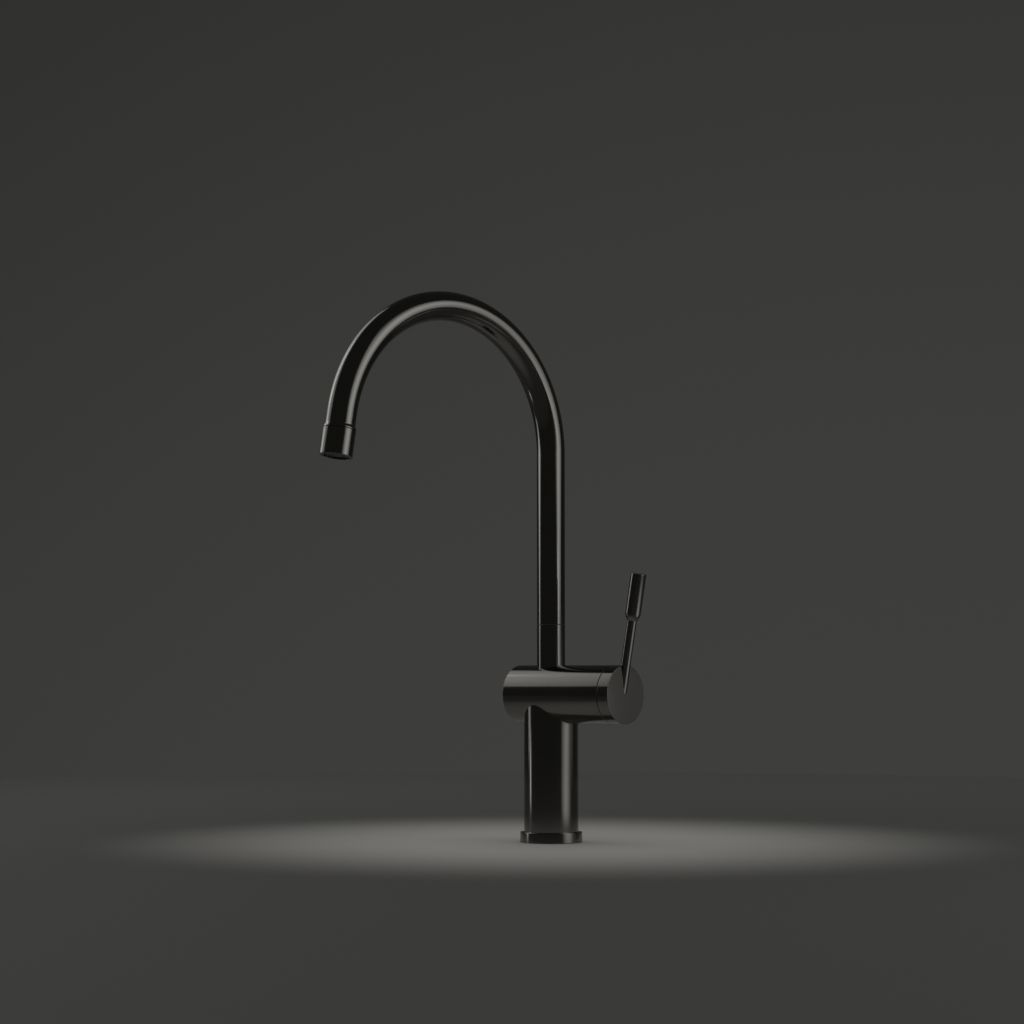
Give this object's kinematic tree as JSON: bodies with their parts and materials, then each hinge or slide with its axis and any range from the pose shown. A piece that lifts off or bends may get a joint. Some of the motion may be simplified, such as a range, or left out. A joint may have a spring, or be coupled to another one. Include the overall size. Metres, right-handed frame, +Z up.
{
  "type": "gooseneck kitchen mixer tap",
  "caption": "Tall kitchen mixer tap with a swivelling gooseneck spout and a side lever on a horizontal barrel, in polished dark metal.",
  "frame": {"origin": "on the deck surface, at the centre of the tap's round foot", "axes": "+Z up along the column, +X along the cross barrel towards the lever, -Y to the user in front"},
  "size_m": [0.1266, 0.2536, 0.4766],
  "materials": {
    "dark_metal": "polished dark gunmetal plating",
    "brass": "machined",
    "copper": "drawn copper tube",
    "steel": "machined",
    "rubber": "moulded",
    "white_plastic": "moulded",
    "grey_plastic": "moulded",
    "ceramic": "lapped"
  },
  "bodies": {
    "tap_body": {"base_ring": "dark_metal", "base_gasket": "rubber", "column": "dark_metal", "inlet_block": "brass", "cold_tube": "copper", "hot_tube": "copper", "cross_barrel": "dark_metal", "barrel_end_plug": "dark_metal", "valve_body": "brass", "spout_collar": "dark_metal", "swing_stop_screw": "steel", "glide_washer": "rubber", "cartridge_seals": "rubber", "cartridge_base": "white_plastic", "fixed_disc": "ceramic", "cartridge_housing": "grey_plastic", "cartridge_nut": "brass", "fixing_stud": "steel", "rubber_washer": "rubber", "clamp_plate": "steel", "clamp_nut": "brass"},
    "spout": {"spout_tube": "dark_metal", "swivel_sleeve": "brass", "swivel_o_rings": "rubber", "swivel_glide_rings": "white_plastic", "spout_nozzle": "dark_metal", "aerator_housing": "dark_metal", "aerator_gasket": "rubber", "aerator_screen": "steel", "aerator_insert": "grey_plastic"},
    "lever": {"lever_cap": "dark_metal", "lever_rod": "dark_metal", "lever_grip": "dark_metal", "lever_set_screw": "steel", "cap_glide_ring": "white_plastic", "spindle": "brass", "spindle_seal": "rubber", "moving_disc": "ceramic"}
  },
  "joints": [
    {"name": "spout_swivel", "type": "hinge", "parent": "tap_body", "child": "spout", "pos_m": [0, 0, 0.1672], "axis": [0, 0, 1], "range_deg": [-69, 81]},
    {"name": "lever_turn", "type": "hinge", "parent": "tap_body", "child": "lever", "pos_m": [0.0631, 0, 0.1136], "axis": [1, 0, 0], "range_deg": [0, 100]}
  ]
}
